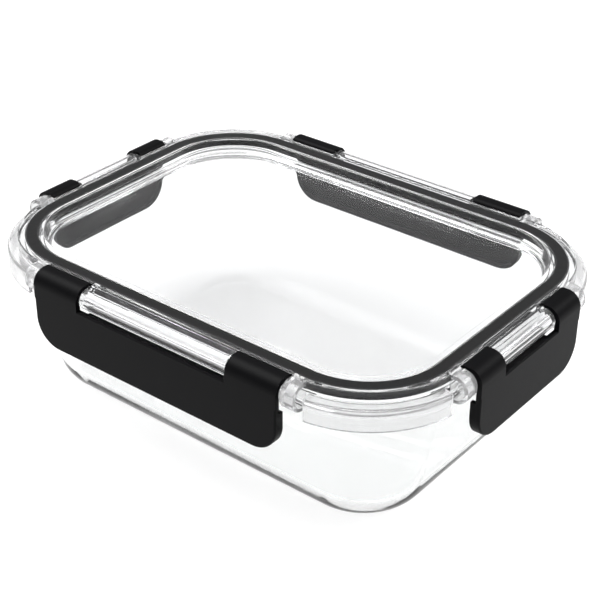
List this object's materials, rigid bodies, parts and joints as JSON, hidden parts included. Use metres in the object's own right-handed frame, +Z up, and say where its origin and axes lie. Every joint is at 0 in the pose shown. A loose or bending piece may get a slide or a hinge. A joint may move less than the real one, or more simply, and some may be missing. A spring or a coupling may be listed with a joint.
{
  "type": "snap lid food container",
  "caption": "Rectangular glass food container with a clear lid, a seal under its rim and side latches that swing down and hook under the glass ledge.",
  "frame": {"origin": "centre of the bowl's flat base", "axes": "+X along the long side, +Y across, +Z up out of the bowl's mouth"},
  "size_m": [0.211, 0.1594, 0.0674],
  "materials": {
    "bowl_glass": "polished",
    "clear_plastic": "gloss",
    "gasket_rubber": "matte",
    "latch_plastic": "satin"
  },
  "bodies": {
    "bowl": {"glass_bowl": "bowl_glass"},
    "cover": {"lid": "clear_plastic", "gasket": "gasket_rubber"},
    "front_latch": {"latch_front": "latch_plastic"},
    "back_latch": {"latch_back": "latch_plastic"},
    "left_latch": {"latch_left": "latch_plastic"},
    "right_latch": {"latch_right": "latch_plastic"}
  },
  "joints": [
    {"name": "lid_lift", "type": "slide", "parent": "bowl", "child": "cover", "axis": [0, 0, 1], "range_m": [0, 0.084]},
    {"name": "front_latch_hinge", "type": "hinge", "parent": "cover", "child": "front_latch", "pos_m": [0, -0.0726, 0.0652], "axis": [-1, 0, 0], "range_deg": [0, 100]},
    {"name": "back_latch_hinge", "type": "hinge", "parent": "cover", "child": "back_latch", "pos_m": [0, 0.0726, 0.0652], "axis": [1, 0, 0], "range_deg": [0, 100]},
    {"name": "left_latch_hinge", "type": "hinge", "parent": "cover", "child": "left_latch", "pos_m": [-0.0984, 0, 0.0652], "axis": [0, 1, 0], "range_deg": [0, 100]},
    {"name": "right_latch_hinge", "type": "hinge", "parent": "cover", "child": "right_latch", "pos_m": [0.0984, 0, 0.0652], "axis": [0, -1, 0], "range_deg": [0, 100]}
  ]
}
